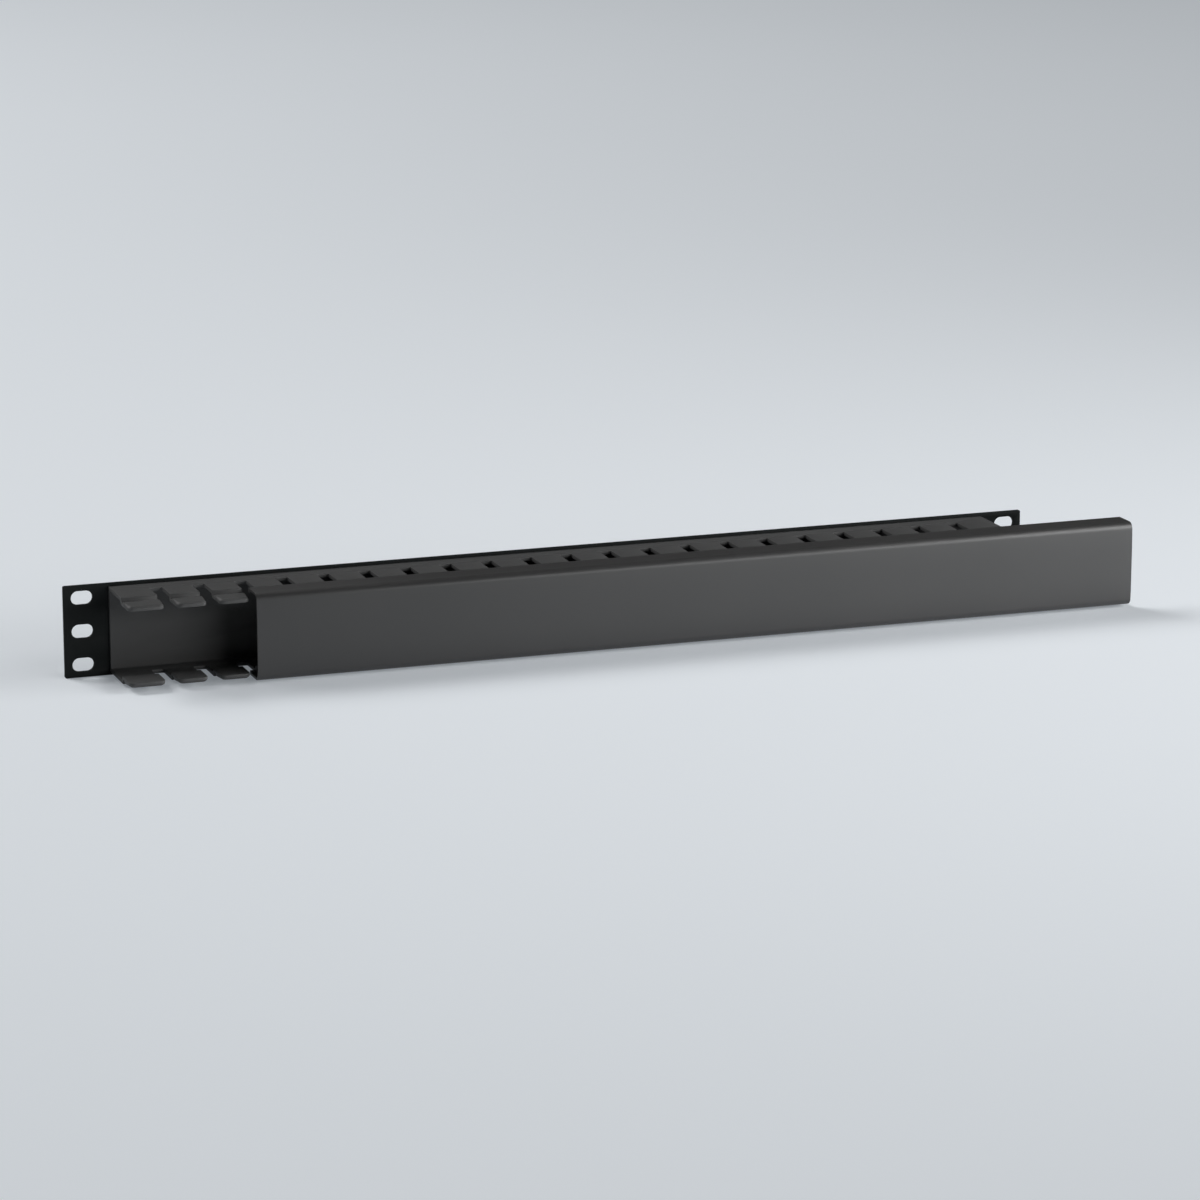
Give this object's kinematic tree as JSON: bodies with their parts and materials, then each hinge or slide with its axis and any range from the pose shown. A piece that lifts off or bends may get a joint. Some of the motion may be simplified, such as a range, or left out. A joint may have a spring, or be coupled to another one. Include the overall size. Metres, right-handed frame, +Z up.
{
  "type": "horizontal cable manager",
  "caption": "One-rack-unit horizontal cable manager: flat panel with slotted ears, fingered duct on its front and a clip-on lid slid part way open.",
  "frame": {"origin": "middle of the panel's rear face, midway between the ear slots", "axes": "+X along the panel's width, +Y out of the rear face towards the rack, +Z up"},
  "size_m": [0.5246, 0.0469, 0.0436],
  "materials": {
    "panel_paint": "satin black powder coat with a fine texture",
    "duct_plastic": "matt black extruded plastic",
    "lid_plastic": "satin dark grey extruded plastic",
    "zinc_steel": "bright zinc plate"
  },
  "bodies": {
    "manager": {"mounting_panel": "panel_paint", "slotted_duct": "duct_plastic", "fixing_screw_1": "zinc_steel", "fixing_screw_2": "zinc_steel", "fixing_screw_3": "zinc_steel", "fixing_screw_4": "zinc_steel", "fixing_screw_5": "zinc_steel", "flat_washer_1": "zinc_steel", "flat_washer_2": "zinc_steel", "flat_washer_3": "zinc_steel", "flat_washer_4": "zinc_steel", "flat_washer_5": "zinc_steel", "lock_washer_1": "zinc_steel", "lock_washer_2": "zinc_steel", "lock_washer_3": "zinc_steel", "lock_washer_4": "zinc_steel", "lock_washer_5": "zinc_steel", "fixing_nut_1": "zinc_steel", "fixing_nut_2": "zinc_steel", "fixing_nut_3": "zinc_steel", "fixing_nut_4": "zinc_steel", "fixing_nut_5": "zinc_steel"},
    "lid": {"sliding_lid": "lid_plastic"}
  },
  "joints": [
    {"name": "lid_slide", "type": "slide", "parent": "manager", "child": "lid", "axis": [1, 0, 0], "range_m": [-0.0616, 0.36]}
  ]
}
